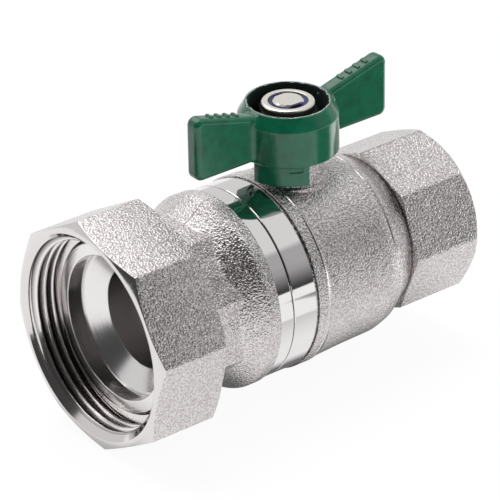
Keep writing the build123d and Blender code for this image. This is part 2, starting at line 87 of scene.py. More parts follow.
def addNode(tree, kind, links=None, **settings):
    # A link is a value, a socket, or a node whose first live output is meant
    node = tree.nodes.new(kind)
    for key, value in settings.items():
        setattr(node, key, value)
    for name, value in (links or {}).items():
        live = [socket for socket in node.inputs if socket.enabled and socket.name == name]
        target = node.inputs[name] if isinstance(name, int) else live[0]
        if isinstance(value, bpy.types.Node):
            value = next(socket for socket in value.outputs if socket.enabled)
        if isinstance(value, bpy.types.NodeSocket):
            tree.links.new(value, target)
        else:
            target.default_value = value
    return node


def newMaterial(name, shaderKind="ShaderNodeBsdfPrincipled"):
    material = bpy.data.materials.new(name)
    material.use_nodes = True
    tree = material.node_tree
    tree.nodes.clear()
    shader = addNode(tree, shaderKind)
    addNode(tree, "ShaderNodeOutputMaterial", {"Surface": shader})
    return material, tree, shader


def place(tree):
    # The point on the piece, and its three parts
    point = addNode(tree, "ShaderNodeTexCoord").outputs["Object"]
    return point, addNode(tree, "ShaderNodeSeparateXYZ", {"Vector": point}).outputs


def distance(tree, across, up):
    # How far a point is from an axis, given its two parts square to the axis
    flat = addNode(tree, "ShaderNodeCombineXYZ", {"X": across, "Y": up})
    return addNode(tree, "ShaderNodeVectorMath", {0: flat}, operation="LENGTH")


def within(tree, value, low, high, soft):
    # 1 between low and high, 0 outside, with soft borders
    rise = addNode(tree, "ShaderNodeMapRange", {
        "Value": value, "From Min": low - soft, "From Max": low + soft})
    fall = addNode(tree, "ShaderNodeMapRange", {
        "Value": value, "From Min": high - soft, "From Max": high + soft})
    return addNode(tree, "ShaderNodeMath", {0: rise, 1: fall}, operation="SUBTRACT", use_clamp=True)


# Nickel plate on a blasted brass forging: the grain breaks every reflection into fine specks.
# Zones that were turned or polished after forging mirror the studio, dark and bright.

metal = {
    "plateColour": "e9e6e6",
    "grainColour": "c4bab9",
    "polishAndRidgeHighlight": "efecec",
    # creaseColour darkens the thread roots and the joints' seams, and is painted shade in the relief
    # groove and at the band's end; shadeColour is painted shade in the octagon's crease
    "creaseColour": "332c2b",
    "shadeColour": "8d8584",
    "grainSize": 0.44 * mm,
    "grainDepth": 0.31 * mm,
    "grainDetail": 1.2,
    "speckRange": (0.36, 0.58),
    "patchSize": 6 * mm,
    "ringSize": 0.5 * mm,        # real tool marks are near 0.1 mm, too fine to show
    "ringDepth": 0.012 * mm,
    "ringSlant": 0.37,           # share of the length in a ring's place, beside the radius
    "forgedRoughness": 0.13,
    "polishRoughness": 0.05,
    "turnedRoughness": 0.15,
    "boredRoughness": 0.2,
    "patchRoughness": 0.12,
    "zoneEdge": 0.06 * mm,
    "edgeRound": 0.35 * mm,
    "flashHalf": 0.13 * mm,
    "flashHeight": 0.18 * mm,
    "ridgeHeight": 0.38 * mm,
    "ridgeHalf": 0.2 * mm,
    "ridgeSlope": 0.2 * mm,
    "threadDepth": 0.55 * mm,
}


def forgedMetal(name, zones=(), lines=(), threaded=None, flashHeight=0.0):
    material, tree, shader = newMaterial(name)
    point, axes = place(tree)
    radius = distance(tree, axes["Y"], axes["Z"])

    def ringZone(low, high, inner, outer, soft):
        lengthwise = within(tree, axes["X"], low, high, soft)
        outward = within(tree, radius, inner, outer, metal["zoneEdge"])
        return addNode(tree, "ShaderNodeMath", {0: lengthwise, 1: outward}, operation="MULTIPLY")

    grain = addNode(tree, "ShaderNodeTexNoise", {
        "Vector": point, "Scale": 1 / metal["grainSize"], "Detail": metal["grainDetail"]})
    patches = addNode(tree, "ShaderNodeTexNoise", {
        "Vector": point, "Scale": 1 / metal["patchSize"], "Detail": 3.0})
    speck = addNode(tree, "ShaderNodeMapRange", {
        "Value": grain, "From Min": metal["speckRange"][0], "From Max": metal["speckRange"][1]})
    base = addNode(tree, "ShaderNodeMix", {
        "Factor": speck, "A": linear(metal["grainColour"]),
        "B": linear(metal["plateColour"])}, data_type="RGBA")
    rough = addNode(tree, "ShaderNodeMath", {
        0: patches, 1: metal["patchRoughness"],
        2: metal["forgedRoughness"] - metal["patchRoughness"] / 2}, operation="MULTIPLY_ADD")
    height = addNode(tree, "ShaderNodeMath", {0: grain, 1: metal["grainDepth"]}, operation="MULTIPLY")
    # The dies' parting line runs along the top and bottom of a forging
    flash = within(tree, axes["Y"], -metal["flashHalf"], metal["flashHalf"], metal["flashHalf"] / 2)
    height = addNode(tree, "ShaderNodeMath", {
        0: flash, 1: flashHeight, 2: height}, operation="MULTIPLY_ADD")
    # Tool marks: rings that follow the radius and the length of a turned face
    along = addNode(tree, "ShaderNodeMath", {
        0: axes["X"], 1: metal["ringSlant"], 2: radius}, operation="MULTIPLY_ADD")
    ringPlace = addNode(tree, "ShaderNodeMath", {
        0: along, 1: 1 / metal["ringSize"]}, operation="MULTIPLY")
    rings = addNode(tree, "ShaderNodeTexNoise", {
        "W": ringPlace, "Scale": 1.0, "Detail": 2.0}, noise_dimensions="1D")
    ringHeight = addNode(tree, "ShaderNodeMath", {
        0: rings, 1: metal["ringDepth"]}, operation="MULTIPLY")
    for low, high, inner, outer, finish in zones:
        zone = ringZone(low, high, inner, outer, metal["zoneEdge"])
        smooth = 0.0 if finish == "polishRoughness" else ringHeight
        base = addNode(tree, "ShaderNodeMix", {
            "Factor": zone, "A": base, "B": linear(metal["polishAndRidgeHighlight"])}, data_type="RGBA")
        rough = addNode(tree, "ShaderNodeMix", {"Factor": zone, "A": rough, "B": metal[finish]})
        height = addNode(tree, "ShaderNodeMix", {"Factor": zone, "A": height, "B": smooth})
    if threaded:
        # The pipe thread's helix, one turn for each pitch, dark in its roots
        zone = ringZone(*threaded, threadPitch / 2)
        angle = addNode(tree, "ShaderNodeMath", {0: axes["Z"], 1: axes["Y"]}, operation="ARCTAN2")
        turns = addNode(tree, "ShaderNodeMath", {0: angle, 1: 1 / (2 * math.pi)}, operation="MULTIPLY")
        helix = addNode(tree, "ShaderNodeMath", {
            0: axes["X"], 1: 1 / threadPitch, 2: turns}, operation="MULTIPLY_ADD")
        flank = addNode(tree, "ShaderNodeMath", {0: helix, 1: 0.5}, operation="PINGPONG")
        cut = addNode(tree, "ShaderNodeMath", {
            0: flank, 1: 2 * metal["threadDepth"]}, operation="MULTIPLY")
        height = addNode(tree, "ShaderNodeMath", {0: zone, 1: cut, 2: height}, operation="MULTIPLY_ADD")
        root = addNode(tree, "ShaderNodeMath", {0: zone, 1: flank}, operation="MULTIPLY")
        base = addNode(tree, "ShaderNodeMix", {
            "Factor": root, "A": base, "B": linear(metal["creaseColour"])}, data_type="RGBA")
    # Dark lines: the joints' own seam, and painted shade in grooves and the octagon's crease. A die's
    # ridge stands up in the bump and is painted lighter as a painted highlight.
    for centre, half, inner, outer, colour in lines:
        ridge = colour == "polishAndRidgeHighlight"
        slope = metal["ridgeSlope"] if ridge else metal["zoneEdge"]
        line = ringZone(centre - half, centre + half, inner, outer, slope)
        base = addNode(tree, "ShaderNodeMix", {
            "Factor": line, "A": base, "B": linear(metal[colour])}, data_type="RGBA")
        if ridge:
            height = addNode(tree, "ShaderNodeMix", {
                "Factor": line, "A": height, "B": metal["ridgeHeight"]})
    soft = addNode(tree, "ShaderNodeBevel", {"Radius": metal["edgeRound"]}, samples=bevelSamples)
    bump = addNode(tree, "ShaderNodeBump", {
        "Strength": 1.0, "Distance": 1.0, "Height": height, "Normal": soft})
    tree.links.new(base.outputs[2], shader.inputs["Base Color"])
    tree.links.new(rough.outputs[0], shader.inputs["Roughness"])
    tree.links.new(bump.outputs["Normal"], shader.inputs["Normal"])
    shader.inputs["Metallic"].default_value = 1.0
    return material


# Machined zones and lines of the two forgings: places along the flow line, half widths and radii.
# Bands and lines are placed from the joint, the crease and the rear ridge from the octagonal end,
# the tail and the bore from the adapter's front, and the pipe thread from the origin.
cuts = {
    "overlap": 1 * mm,           # each polished zone runs past the joint into the other piece
    "bodyBand": 6.7 * mm,
    "adapterBand": 4.1 * mm,
    "bandRadius": 22.4 * mm,
    "lineRadius": 20 * mm,
    "jointHalf": 0.12 * mm,
    "reliefHalf": 0.16 * mm,
    "reliefPlace": 6.85 * mm,
    "bandEndHalf": 0.10 * mm,
    "adapterJointPlace": -0.05 * mm,
    "frontRidge": 10.2 * mm,
    "rearRidge": -7.4 * mm,
    "rearRidgeRadius": 17 * mm,
    "creaseHalf": 0.35 * mm,
    "creaseRadii": (17 * mm, 18.75 * mm),
    "tailDepth": 12 * mm,
    "tailRadius": 20.7 * mm,
    "boreFront": 0.1 * mm,
    "boreDepth": 30 * mm,
    "adapterBoreRadius": 16.9 * mm,
    "bodyBoreRadius": 16.2 * mm,
    "boreEnd": 100 * mm,
    "pipeThread": (-16.0 * mm, -0.6 * mm, 14.5 * mm, 16.0 * mm),
}
bandZone = (cuts["bandRadius"], outside, "polishRoughness")
boreX = adapterFront + cuts["boreDepth"]
bodyZones = [
    (joint - cuts["overlap"], joint + cuts["bodyBand"], *bandZone),
    (boreX, cuts["boreEnd"], 0, cuts["bodyBoreRadius"], "boredRoughness"),
]
adapterZones = [
    (joint - cuts["adapterBand"], joint + cuts["overlap"], *bandZone),
    (adapterFront - cuts["overlap"], adapterFront + cuts["tailDepth"],
     0, cuts["tailRadius"], "turnedRoughness"),
    (adapterFront + cuts["boreFront"], boreX, 0, cuts["adapterBoreRadius"], "boredRoughness"),
]
# Thin dark lines: the joints' own dark seam, and painted shade in the relief groove, at the band's end
# and in the octagon's crease; the two ridges get a painted highlight
groove = (cuts["lineRadius"], outside, "creaseColour")
bodyLines = [
    (joint, cuts["jointHalf"], *groove),
    (joint + cuts["reliefPlace"], cuts["reliefHalf"], *groove),
    (octagonX, cuts["creaseHalf"], *cuts["creaseRadii"], "shadeColour"),
    # The two ridges stand up in the bump and are painted lighter, a painted highlight along each
    (joint + cuts["frontRidge"], metal["ridgeHalf"], cuts["lineRadius"], outside, "polishAndRidgeHighlight"),
    (octagonX + cuts["rearRidge"], metal["ridgeHalf"], cuts["rearRidgeRadius"], outside, "polishAndRidgeHighlight"),
]
adapterLines = [
    (joint + cuts["adapterJointPlace"], cuts["jointHalf"], *groove),
    (joint - cuts["adapterBand"], cuts["bandEndHalf"], *groove),
]
forged = forgedMetal("forgedNickelPlate")
bodyMetal = forgedMetal("valveBodyNickelPlate", bodyZones, bodyLines,
                        threaded=cuts["pipeThread"], flashHeight=metal["flashHeight"])
adapterMetal = forgedMetal("endAdapterNickelPlate", adapterZones, adapterLines,
                           flashHeight=metal["flashHeight"])


def smoothMetal(name, colour, roughness, markSize, markDepth, oxideAndShade=None):
    material, tree, shader = newMaterial(name)
    point, axes = place(tree)
    marks = addNode(tree, "ShaderNodeTexNoise", {
        "Vector": point, "Scale": 1 / markSize, "Detail": 2.0})
    spread = 0.12                # how far the marks change the roughness
    rough = addNode(tree, "ShaderNodeMath", {
        0: marks, 1: spread, 2: roughness - spread / 2}, operation="MULTIPLY_ADD")
    # A dark zone, used for oxide in the thread's roots and for painted shade on the lock nut below its
    # collar
    if oxideAndShade:
        value = axes["Z"] if oxideAndShade["by"] == "height" else distance(tree, axes["Y"], axes["Z"])
        zone = within(tree, value, oxideAndShade["from"], oxideAndShade["to"], oxideAndShade["border"])
        base = addNode(tree, "ShaderNodeMix", {
            "Factor": zone, "A": linear(colour), "B": linear(oxideAndShade["colour"])}, data_type="RGBA")
        rough = addNode(tree, "ShaderNodeMix", {"Factor": zone, "A": rough, "B": oxideAndShade["roughness"]})
        tree.links.new(base.outputs[2], shader.inputs["Base Color"])
    else:
        shader.inputs["Base Color"].default_value = linear(colour)
    bump = addNode(tree, "ShaderNodeBump", {"Strength": 1.0, "Distance": markDepth, "Height": marks})
    shader.inputs["Metallic"].default_value = 1.0
    tree.links.new(rough.outputs[0], shader.inputs["Roughness"])
    tree.links.new(bump.outputs["Normal"], shader.inputs["Normal"])
    return material


# Turned and nickel plated: a clear mirror with slight waves.
# The cut thread keeps dark oxide in its roots, so its crests stand out as bright lines.
# Zinc plate is softer and warmer; below the lock nut's collar it is painted near-black, as painted shade
# in the handle's recess.
oxide = {"by": "radius", "from": 23.25 * mm, "to": outside, "border": 0.55 * mm,
         "colour": "3b3332", "roughness": 0.35}
# Painted shade: the lock nut below its collar is painted near-black, where the recess shades it
paintedRecessShade = {"by": "height", "from": 0, "to": lockNutTop - 1.3 * mm, "border": 0.15 * mm,
          "colour": "1d1b19", "roughness": 0.5}
zinc = {"colour": "f2eee6", "roughness": 0.26, "markSize": 0.6 * mm, "markDepth": 0.006 * mm}
turned = smoothMetal("turnedNickelPlate", colour="e6e2e1", roughness=0.13,
                     markSize=0.9 * mm, markDepth=0.004 * mm)
thread = smoothMetal("cutThreadNickelPlate", colour="efebea", roughness=0.12,
                     markSize=0.7 * mm, markDepth=0.006 * mm, oxideAndShade=oxide)
steel = smoothMetal("zincPlatedSteel", **zinc)
paintedShadeSteel = smoothMetal("zincPlatedSteelPaintedShade", **zinc, oxideAndShade=paintedRecessShade)


# Deep green enamel, dipped thick and baked: it rounds every edge, mirrors lights softly and
# has a slight orange peel. The recess round the lock nut is matt and painted near-black as
# painted shade, up to a ragged rim with a thin pale line along it.

coat = {
    "colour": "0b6b4c",
    "deep": "085c41",
    "recessPaintedShade": "10201a",
    "rimColour": "cdd6d2",
    "cloudSize": 3 * mm,
    "cloudRange": (0.3, 0.6),
    "peelSize": 1.6 * mm,
    "peelDepth": 0.03 * mm,
    "edgeRound": 0.45 * mm,
    "recessRadius": 9.2 * mm,
    "recessDepth": 6 * mm,
    "recessBorder": 0.1 * mm,
    "raggedSize": 1.3 * mm,
    "raggedDepth": 1.2 * mm,
    "raggedBorder": 0.08 * mm,
    "rimPlace": 0.28 * mm,       # outward from the recess wall
    "rimWidth": 0.18 * mm,
    "rimBorder": 0.05 * mm,
    "roughness": 0.18,
    "recessRoughness": 0.75,
    "lacquer": 0.4,
    "lacquerRoughness": 0.05,
}


def bakedEnamel():
    material, tree, shader = newMaterial("greenEnamel")
    point, axes = place(tree)
    peel, clouds, ragged = (
        addNode(tree, "ShaderNodeTexNoise", {"Vector": point, "Scale": 1 / coat[size], "Detail": detail})
        for size, detail in (("peelSize", 2.0), ("cloudSize", 3.0), ("raggedSize", 2.0)))
    fromStem = addNode(tree, "ShaderNodeMath", {0: axes["X"], 1: stemX}, operation="SUBTRACT")
    wavyRadius = addNode(tree, "ShaderNodeMath", {
        0: ragged, 1: coat["raggedDepth"], 2: distance(tree, fromStem, axes["Y"])},
        operation="MULTIPLY_ADD")
    rim = coat["recessRadius"] + coat["raggedDepth"] / 2 + coat["rimPlace"]
    upper = within(tree, axes["Z"], hubTop - coat["recessDepth"], farOff, coat["recessBorder"])
    core = within(tree, wavyRadius, -farOff, rim, coat["raggedBorder"])
    edge = within(tree, wavyRadius, rim, rim + coat["rimWidth"], coat["rimBorder"])
    inside = addNode(tree, "ShaderNodeMath", {0: upper, 1: core}, operation="MULTIPLY")
    rimLine = addNode(tree, "ShaderNodeMath", {0: upper, 1: edge}, operation="MULTIPLY")
    tint = addNode(tree, "ShaderNodeMapRange", {
        "Value": clouds, "From Min": coat["cloudRange"][0], "From Max": coat["cloudRange"][1]})
    base = addNode(tree, "ShaderNodeMix", {
        "Factor": tint, "A": linear(coat["deep"]), "B": linear(coat["colour"])}, data_type="RGBA")
    # The recess is painted near-black as painted shade; the rim gets a thin pale line
    for zone, colour in ((inside, "recessPaintedShade"), (rimLine, "rimColour")):
        base = addNode(tree, "ShaderNodeMix", {
            "Factor": zone, "A": base, "B": linear(coat[colour])}, data_type="RGBA")
    rough = addNode(tree, "ShaderNodeMix", {
        "Factor": inside, "A": coat["roughness"], "B": coat["recessRoughness"]})
    lacquer = addNode(tree, "ShaderNodeMix", {"Factor": inside, "A": coat["lacquer"], "B": 0.0})
    soft = addNode(tree, "ShaderNodeBevel", {"Radius": coat["edgeRound"]}, samples=bevelSamples)
    bump = addNode(tree, "ShaderNodeBump", {
        "Strength": 1.0, "Distance": coat["peelDepth"], "Height": peel, "Normal": soft})
    tree.links.new(base.outputs[2], shader.inputs["Base Color"])
    tree.links.new(rough.outputs[0], shader.inputs["Roughness"])
    tree.links.new(lacquer.outputs[0], shader.inputs["Coat Weight"])
    tree.links.new(bump.outputs["Normal"], shader.inputs["Normal"])
    shader.inputs["Coat Roughness"].default_value = coat["lacquerRoughness"]
    return material


green = bakedEnamel()


def mouldedPlastic(name, colour, patchColour, roughness, grainSize):
    material, tree, shader = newMaterial(name)
    point = addNode(tree, "ShaderNodeTexCoord").outputs["Object"]
    grainDepth = 0.01 * mm
    patchRange = (0.45, 0.6)     # of the noise, from one colour to the other
    grain = addNode(tree, "ShaderNodeTexNoise", {
        "Vector": point, "Scale": 1 / grainSize, "Detail": 2.0})
    patch = addNode(tree, "ShaderNodeMapRange", {
        "Value": grain, "From Min": patchRange[0], "From Max": patchRange[1]})
    base = addNode(tree, "ShaderNodeMix", {
        "Factor": patch, "A": linear(colour), "B": linear(patchColour)}, data_type="RGBA")
    bump = addNode(tree, "ShaderNodeBump", {"Strength": 1.0, "Distance": grainDepth, "Height": grain})
    tree.links.new(base.outputs[2], shader.inputs["Base Color"])
    tree.links.new(bump.outputs["Normal"], shader.inputs["Normal"])
    shader.inputs["Roughness"].default_value = roughness
    return material


# Moulded nylon: blue and smooth, painted near-black as painted shade of the recess, its own blue showing
# in random patches. Sintered PTFE: waxy white.
# Moulded nitrile rubber: black with a dull shine.
nylon = mouldedPlastic("blueNylonPaintedShade", "11142a", "2c3c92", roughness=0.30, grainSize=1.6 * mm)
ptfe = mouldedPlastic("sinteredPtfe", "e6e6e1", "f0f0ec", roughness=0.45, grainSize=1.0 * mm)
rubber = mouldedPlastic("nitrileRubber", "121212", "1a1a1a", roughness=0.5, grainSize=0.5 * mm)

dress = {
    "valve_body": bodyMetal,
    "end_adapter": adapterMetal,
    "nut_retaining_ring": turned,
    "joint_seal_ring": rubber,
    "body_seat_ring": ptfe,
    "adapter_seat_ring": ptfe,
    "ball": turned,
    "stem": steel,
    "stem_thrust_washer": ptfe,
    "stem_seal_lower": rubber,
    "stem_seal_upper": rubber,
    "handle": green,
    "handle_nut": paintedShadeSteel,
    "handle_nut_insert": nylon,
}
for name, material in dress.items():
    for slot in nodes[name].material_slots:
        slot.material = material
print("stage: materials on the CAD nodes")


# Union nut with its cut thread

nut = {
    "flats": 52.0 * mm,
    "turn": -7.0,                # degrees
    "cornerRound": 1.0 * mm,
    "frontFaceRadius": 25.6 * mm,
    "frontChamfer": 1.2 * mm,
    "rearFaceRadius": 26.6 * mm,
    "rearChamfer": 0.9 * mm,
    "entryRadius": 24.8 * mm,
    "entryDepth": 1.5 * mm,
    "minorRadius": 22.42 * mm,
    "majorRadius": 23.9 * mm,
    "crestShare": 0.17,          # of half a pitch, flat at the crest and at the root
    "straightFlank": 0.65,
    "threadToTail": 0.3 * mm,
    "reliefWidth": 1.2 * mm,
    "boreRadius": 20.9 * mm,
    "grooveToRear": 4.0 * mm,
    "grooveHalf": 1.3 * mm,
    "grooveRadius": 22.05 * mm,
    "edgeRound": 0.12 * mm,
    "flatColumns": 24,
    "cornerColumns": 4,
    "rowsPerPitch": 22,
    "mergeWithin": 0.002 * mm,
}
finishes = {"forged": forged, "turned": turned, "thread": thread}
octant = math.pi / 8
apothem = nut["flats"] / 2
cornerRadius = apothem / math.cos(octant)
roundCentre = (apothem - nut["cornerRound"]) / math.cos(octant)
roundAngle = math.atan2(nut["cornerRound"] * math.sin(octant),
                        roundCentre + nut["cornerRound"] * math.cos(octant))


def octagonRadius(fromCorner):
    if abs(fromCorner) < roundAngle:
        aside = roundCentre * math.sin(fromCorner)
        return roundCentre * math.cos(fromCorner) + math.sqrt(nut["cornerRound"] ** 2 - aside ** 2)
    return apothem / math.cos(octant - abs(fromCorner))


def threadRadius(phase):
    # The form of a pipe thread: flanks at 27.5 degrees with a rounded crest and root
    phase = phase % 1.0
    rise = min(phase, 1 - phase) * 2
    crest, straight = nut["crestShare"], nut["straightFlank"]
    share = min(max((rise - crest) / (1 - 2 * crest), 0), 1)
    rounded = share * share * (3 - 2 * share)
    depth = straight * share + (1 - straight) * rounded
    return nut["minorRadius"] + (nut["majorRadius"] - nut["minorRadius"]) * depth


# The columns round the nut: their angles, and the octagon's radius there
columns = []
for corner in range(8):
    centre = 2 * octant * corner + math.radians(nut["turn"])
    for stepIndex in range(-nut["cornerColumns"], nut["cornerColumns"] + 1):
        angle = roundAngle * stepIndex / nut["cornerColumns"]
        columns.append((centre + angle, octagonRadius(angle)))
    span = 2 * (octant - roundAngle)
    for stepIndex in range(1, nut["flatColumns"]):
        angle = roundAngle + span * stepIndex / nut["flatColumns"]
        columns.append((centre + angle, octagonRadius(angle if angle < octant else angle - 2 * octant)))

front, rear = nutLow[0], nutHigh[0]
threadEnd = adapterFront - nut["threadToTail"]
reliefEnd = threadEnd + nut["reliefWidth"]
frontSlope = nut["frontChamfer"] / (cornerRadius - nut["frontFaceRadius"])
rearSlope = nut["rearChamfer"] / (cornerRadius - nut["rearFaceRadius"])
grooveX = rear - nut["grooveToRear"]
rowCount = round((threadEnd - front) / threadPitch * nut["rowsPerPitch"])


def nutProfile(angle, radius):
    # One closed line of (x, radius, finish), with every edge softened by a part of edgeRound, and
    # the front chamfer's edges by less where the chamfer is short
    soft, bore = nut["edgeRound"], nut["boreRadius"]
    edgeX = front + (radius - nut["frontFaceRadius"]) * frontSlope
    lead = min(soft, 0.4 * (edgeX - front))
    points = [
        (front, nut["entryRadius"] + soft, "turned"),
        (front, nut["frontFaceRadius"] - soft, "turned"),
        (front + 0.3 * lead, nut["frontFaceRadius"] - 0.1 * lead, "turned"),
        (front + lead, nut["frontFaceRadius"] + lead / frontSlope, "turned"),
        (edgeX - lead, radius - lead / frontSlope, "turned"),
        (edgeX + 0.3 * lead, radius - 0.3 * lead, "forged"),
        (edgeX + 2 * lead, radius, "forged"),
    ]
    rearEdge = rear - max(max(0, radius - nut["rearFaceRadius"]) * rearSlope, soft)
    rearRadius = min(nut["rearFaceRadius"], radius)
    points += [
        (rearEdge - soft, radius, "forged"),
        (rearEdge, radius - 0.25 * soft, "forged"),
        (rear - 0.3 * soft, rearRadius - 0.3 * soft, "forged"),
        (rear, rearRadius - soft, "turned"),
        (rear, bore + soft, "turned"),
        (rear - soft, bore, "turned"),
        (grooveX + nut["grooveHalf"], bore, "turned"),
        (grooveX + nut["grooveHalf"], nut["grooveRadius"], "turned"),
        (grooveX - nut["grooveHalf"], nut["grooveRadius"], "turned"),
        (grooveX - nut["grooveHalf"], bore, "turned"),
        (reliefEnd + soft, bore, "turned"),
        (reliefEnd, bore + soft, "turned"),
        (reliefEnd, nut["majorRadius"] - soft, "thread"),
        (reliefEnd - soft, nut["majorRadius"], "thread"),
        (threadEnd + soft / 4, nut["majorRadius"], "thread"),
    ]
    for index in range(rowCount, -1, -1):
        depth = (threadEnd - front - soft / 4) * index / rowCount + soft / 4
        cut = threadRadius(depth / threadPitch - angle / (2 * math.pi))
        finish = "thread" if depth > nut["entryDepth"] else "turned"
        points.append((front + depth, max(cut, nut["entryRadius"] - depth), finish))
    return points


def buildNut():
    # The profile is spun round the flow line, then each column takes its place on the octagon
    # and the helix
    shape = bmesh.new()
    rowOf = shape.verts.layers.int.new("row")
    profiles = [nutProfile(angle, radius) for angle, radius in columns]
    line, rowSlots = [], []
    for row, (x, radius, finish) in enumerate(profiles[0]):
        vert = shape.verts.new((x, radius, 0))
        vert[rowOf] = row
        line.append(vert)
        rowSlots.append(list(finishes).index(finish))
    edges = [shape.edges.new(pair) for pair in zip(line, line[1:] + line[:1])]
    bmesh.ops.spin(shape, geom=line + edges, cent=(0, 0, 0), axis=(1, 0, 0), angle=2 * math.pi,
                   steps=len(columns), use_merge=True)
    for vert in shape.verts:
        turn = math.atan2(vert.co.z, vert.co.y) / (2 * math.pi)
        column = round(turn * len(columns)) % len(columns)
        angle = columns[column][0]
        x, radius = profiles[column][vert[rowOf]][:2]
        vert.co = (x, radius * math.cos(angle), radius * math.sin(angle))
    for face in shape.faces:
        rows = sorted({vert[rowOf] for vert in face.verts})
        closing = rows[0] == 0 and rows[-1] > 1
        face.material_index = rowSlots[rows[-1] if closing else rows[0]]
        face.smooth = True
    bmesh.ops.remove_doubles(shape, verts=shape.verts, dist=nut["mergeWithin"])
    bmesh.ops.recalc_face_normals(shape, faces=shape.faces)
    mesh = bpy.data.meshes.new("unionNutThreaded")
    shape.to_mesh(mesh)
    shape.free()
    for material in finishes.values():
        mesh.materials.append(material)
    piece = bpy.data.objects.new("unionNutThreaded", mesh)
    bpy.context.scene.collection.objects.link(piece)
    return piece


unionNut = buildNut()
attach(unionNut, "nut")
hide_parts("union_nut")
print("stage: union nut with its thread", len(unionNut.data.polygons))


# Studio: white floor, soft lamps and a world with bright and dark sides for the polished metal

paperSheet = {
    "colour": "f4f4f4",
    "reach": 6.0,                # metres each way
    "white": 1.07,
    "cameraShare": 0.86,         # how much of the sheet glows instead of being lit
    "mirrorShare": 0.85,
    # Seen only in the metal's mirror: painted falloff, painted gap, painted window strip and painted
    # shadow under the valve
    "brightFrom": -30 * mm,
    "dimFrom": -92 * mm,
    "dim": 0.35,
    # Bearings from the stem in degrees, distances, and the bearings' border in degrees
    "panel": (-75, 26, 62 * mm, 5000 * mm, 1),
    "far": (-80, 75, 200 * mm, 5000 * mm, 4),
    "gap": (28, 62, 100 * mm, 200 * mm, 1.5),
    "gapDepth": 0.95,
    "window": (67, 89, 85 * mm, 195 * mm, 2),
    "windowGain": 1.8,
    "border": 8 * mm,
    "underFront": -15 * mm,
    "underBack": 21 * mm,
    "underBorder": 3 * mm,
    "underDepth": 0.85,
}
shape = bmesh.new()
bmesh.ops.create_grid(shape, x_segments=1, y_segments=1, size=paperSheet["reach"],
                      matrix=Matrix.Translation((0, 0, cadBounds[0][2])))
floorMesh = bpy.data.meshes.new("studioFloor")
shape.to_mesh(floorMesh)
shape.free()
floor = bpy.data.objects.new("studioFloor", floorMesh)
bpy.context.scene.collection.objects.link(floor)


def whitePaper():
    # White to the camera. In the metal's mirror the sheet carries painted light and shade: bright
    # near the valve, a painted falloff into shade towards the front, a painted shadow under the valve,
    # a dark painted gap at the front right and beside it a painted strip of window light.
    material, tree, blend = newMaterial("whitePaper", "ShaderNodeMixShader")
    axes = place(tree)[1]
    offset = addNode(tree, "ShaderNodeMath", {0: axes["X"], 1: stemX}, operation="SUBTRACT")
    forward = addNode(tree, "ShaderNodeMath", {0: axes["Y"], 1: -1.0}, operation="MULTIPLY")
    bearing = addNode(tree, "ShaderNodeMath", {0: offset, 1: forward}, operation="ARCTAN2")
    away = distance(tree, offset, forward)
    bright = addNode(tree, "ShaderNodeMapRange", {
        "Value": axes["Y"], "From Min": paperSheet["dimFrom"], "From Max": paperSheet["brightFrom"],
        "To Min": paperSheet["dim"], "To Max": 1.0})
    sides = {}
    for part in ("panel", "far", "gap", "window"):
        left, right, closest, farthest, border = paperSheet[part]
        facing = within(tree, bearing, math.radians(left), math.radians(right), math.radians(border))
        reached = within(tree, away, closest, farthest, paperSheet["border"])
        sides[part] = addNode(tree, "ShaderNodeMath", {0: facing, 1: reached}, operation="MULTIPLY")
    for part in ("panel", "far"):
        bright = addNode(tree, "ShaderNodeMath", {0: bright, 1: sides[part]}, operation="MAXIMUM")
    # The window strip is painted light, brighter than white
    bright = addNode(tree, "ShaderNodeMath", {
        0: sides["window"], 1: paperSheet["windowGain"], 2: bright}, operation="MULTIPLY_ADD")
    # Painted shadow on the sheet under the valve
    lengthwise = within(tree, axes["X"], nutLow[0], bodyHigh[0], paperSheet["border"])
    crosswise = within(tree, axes["Y"], paperSheet["underFront"], paperSheet["underBack"],
                       paperSheet["underBorder"])
    under = addNode(tree, "ShaderNodeMath", {0: lengthwise, 1: crosswise}, operation="MULTIPLY")
    for shaded, depth in ((sides["gap"], "gapDepth"), (under, "underDepth")):
        dimmed = addNode(tree, "ShaderNodeMath", {
            0: shaded, 1: -paperSheet[depth], 2: 1.0}, operation="MULTIPLY_ADD")
        bright = addNode(tree, "ShaderNodeMath", {0: bright, 1: dimmed}, operation="MULTIPLY")
    light = addNode(tree, "ShaderNodeLightPath").outputs
    brightness = addNode(tree, "ShaderNodeMix", {
        "Factor": light["Is Camera Ray"], "A": bright, "B": paperSheet["white"]})
    mirror = addNode(tree, "ShaderNodeMath", {
        0: light["Is Glossy Ray"], 1: paperSheet["mirrorShare"]}, operation="MULTIPLY")
    seen = addNode(tree, "ShaderNodeMath", {
        0: light["Is Camera Ray"], 1: paperSheet["cameraShare"]}, operation="MULTIPLY")
    share = addNode(tree, "ShaderNodeMath", {0: seen, 1: mirror}, operation="MAXIMUM")
    share = addNode(tree, "ShaderNodeMath", {
        0: share, 1: light["Is Transmission Ray"]}, operation="MAXIMUM")
    matt = addNode(tree, "ShaderNodeBsdfDiffuse", {"Color": linear(paperSheet["colour"])})
    glow = addNode(tree, "ShaderNodeEmission", {"Color": (1, 1, 1, 1), "Strength": brightness})
    for source, socket in zip((share, matt, glow), blend.inputs):
        tree.links.new(source.outputs[0], socket)
    return material


floorMesh.materials.append(whitePaper())

